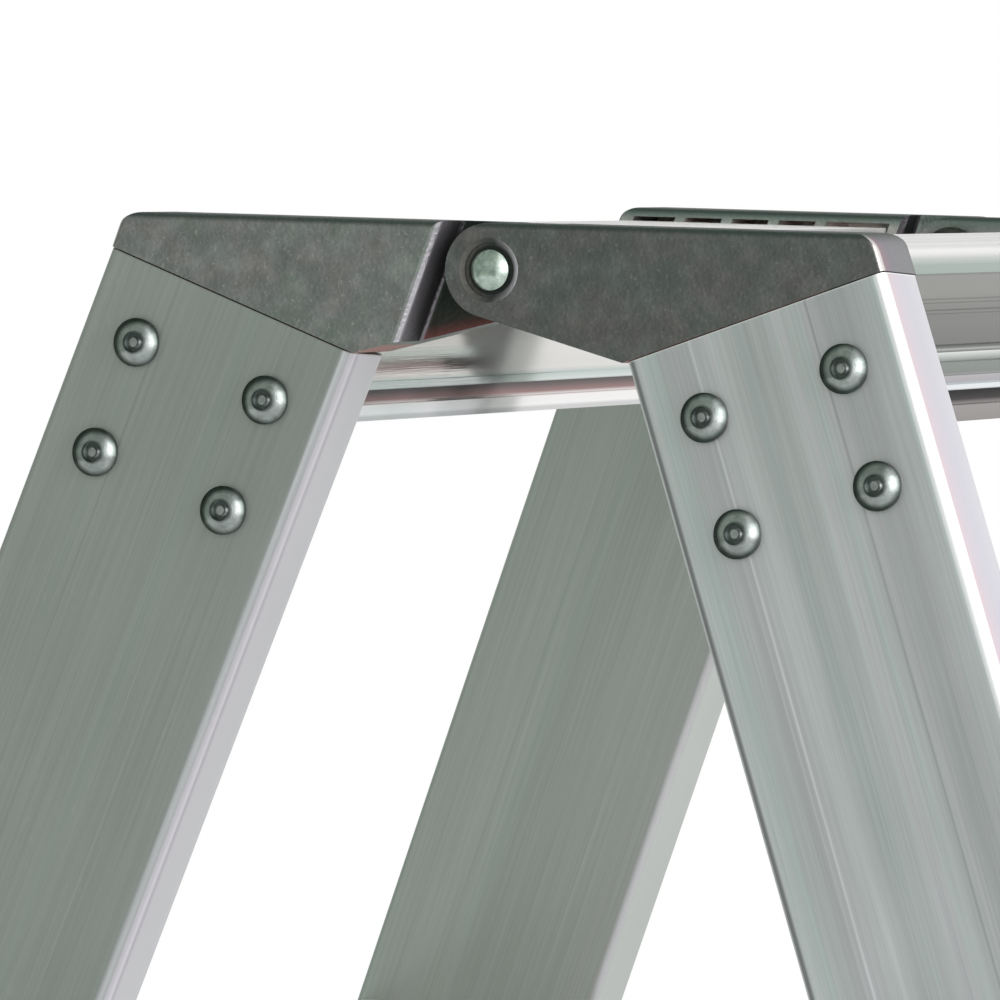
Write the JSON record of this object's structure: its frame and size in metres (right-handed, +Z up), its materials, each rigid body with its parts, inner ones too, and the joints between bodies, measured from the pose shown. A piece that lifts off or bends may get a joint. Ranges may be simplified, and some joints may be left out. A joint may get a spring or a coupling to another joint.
{
  "type": "trestle ladder",
  "caption": "Free-standing aluminium trestle ladder: two flights of deep treads joined at the top by lapped cast hinges, with folding stays and ribbed feet.",
  "frame": {"origin": "on the floor, midway between the four feet", "axes": "+Z up; +Y along the hinge pins, away from the viewer of the near side; +X towards the right flight's feet"},
  "size_m": [1.2508, 0.5694, 1.3795],
  "materials": {
    "stile": "mill-finish extrusion with fine lines along its length",
    "casting": "dark, rough, unpolished casting",
    "rivet": "bright zinc plate with a dark ring",
    "pin": "zinc plate",
    "washer": "zinc plate",
    "tread": "smooth bright extrusion",
    "foot": "matt black moulding",
    "stay": "zinc plate",
    "stay_pin": "zinc plate"
  },
  "bodies": {
    "left_flight": {"near_left_stile": "stile", "far_left_stile": "stile", "near_left_casting": "casting", "far_left_casting": "casting", "near_left_casting_rivets": "rivet", "far_left_casting_rivets": "rivet", "near_hinge_pin": "pin", "far_hinge_pin": "pin", "near_hinge_washer": "washer", "far_hinge_washer": "washer", "left_top_tread": "tread", "left_tread_2": "tread", "left_tread_3": "tread", "left_tread_4": "tread", "left_bottom_tread": "tread", "near_left_foot": "foot", "far_left_foot": "foot", "left_foot_rivets": "rivet", "near_left_stay_bracket": "stay", "far_left_stay_bracket": "stay", "left_stay_rivets": "rivet", "near_left_stay_pin": "stay_pin", "far_left_stay_pin": "stay_pin"},
    "right_flight": {"near_right_stile": "stile", "far_right_stile": "stile", "near_right_casting": "casting", "far_right_casting": "casting", "near_right_casting_rivets": "rivet", "far_right_casting_rivets": "rivet", "right_top_tread": "tread", "right_tread_2": "tread", "right_tread_3": "tread", "right_tread_4": "tread", "right_bottom_tread": "tread", "near_right_foot": "foot", "far_right_foot": "foot", "right_foot_rivets": "rivet", "near_right_stay_bracket": "stay", "far_right_stay_bracket": "stay", "right_stay_rivets": "rivet", "near_right_stay_pin": "stay_pin", "far_right_stay_pin": "stay_pin"},
    "near_left_stay": {"near_left_stay_bar": "stay", "near_left_stay_stud": "stay_pin"},
    "far_left_stay": {"far_left_stay_bar": "stay", "far_left_stay_stud": "stay_pin"},
    "near_right_stay": {"near_right_stay_bar": "stay", "near_right_stay_stud": "stay_pin"},
    "far_right_stay": {"far_right_stay_bar": "stay", "far_right_stay_stud": "stay_pin"}
  },
  "joints": [
    {"name": "main_fold", "type": "hinge", "parent": "left_flight", "child": "right_flight", "pos_m": [0, 0, 1.3655], "axis": [0, 1, 0], "range_deg": [0, 40]},
    {"name": "near_left_stay_fold", "type": "hinge", "parent": "left_flight", "child": "near_left_stay", "pos_m": [-0.23515, -0.22101, 0.77001], "axis": [0, 1, 0], "range_deg": [-65.8, 0]},
    {"name": "near_right_stay_fold", "type": "hinge", "parent": "right_flight", "child": "near_right_stay", "pos_m": [0.23515, -0.22101, 0.77001], "axis": [0, 1, 0], "range_deg": [0, 65.8]},
    {"name": "far_left_stay_fold", "type": "hinge", "parent": "left_flight", "child": "far_left_stay", "pos_m": [-0.23515, 0.22101, 0.77001], "axis": [0, 1, 0], "range_deg": [-65.8, 0]},
    {"name": "far_right_stay_fold", "type": "hinge", "parent": "right_flight", "child": "far_right_stay", "pos_m": [0.23515, 0.22101, 0.77001], "axis": [0, 1, 0], "range_deg": [0, 65.8]}
  ],
  "couplings": [
    {"joint": "near_left_stay_fold", "follows": "main_fold", "ratio": -1.6445},
    {"joint": "near_right_stay_fold", "follows": "main_fold", "ratio": 1.6445},
    {"joint": "far_left_stay_fold", "follows": "main_fold", "ratio": -1.6445},
    {"joint": "far_right_stay_fold", "follows": "main_fold", "ratio": 1.6445}
  ]
}
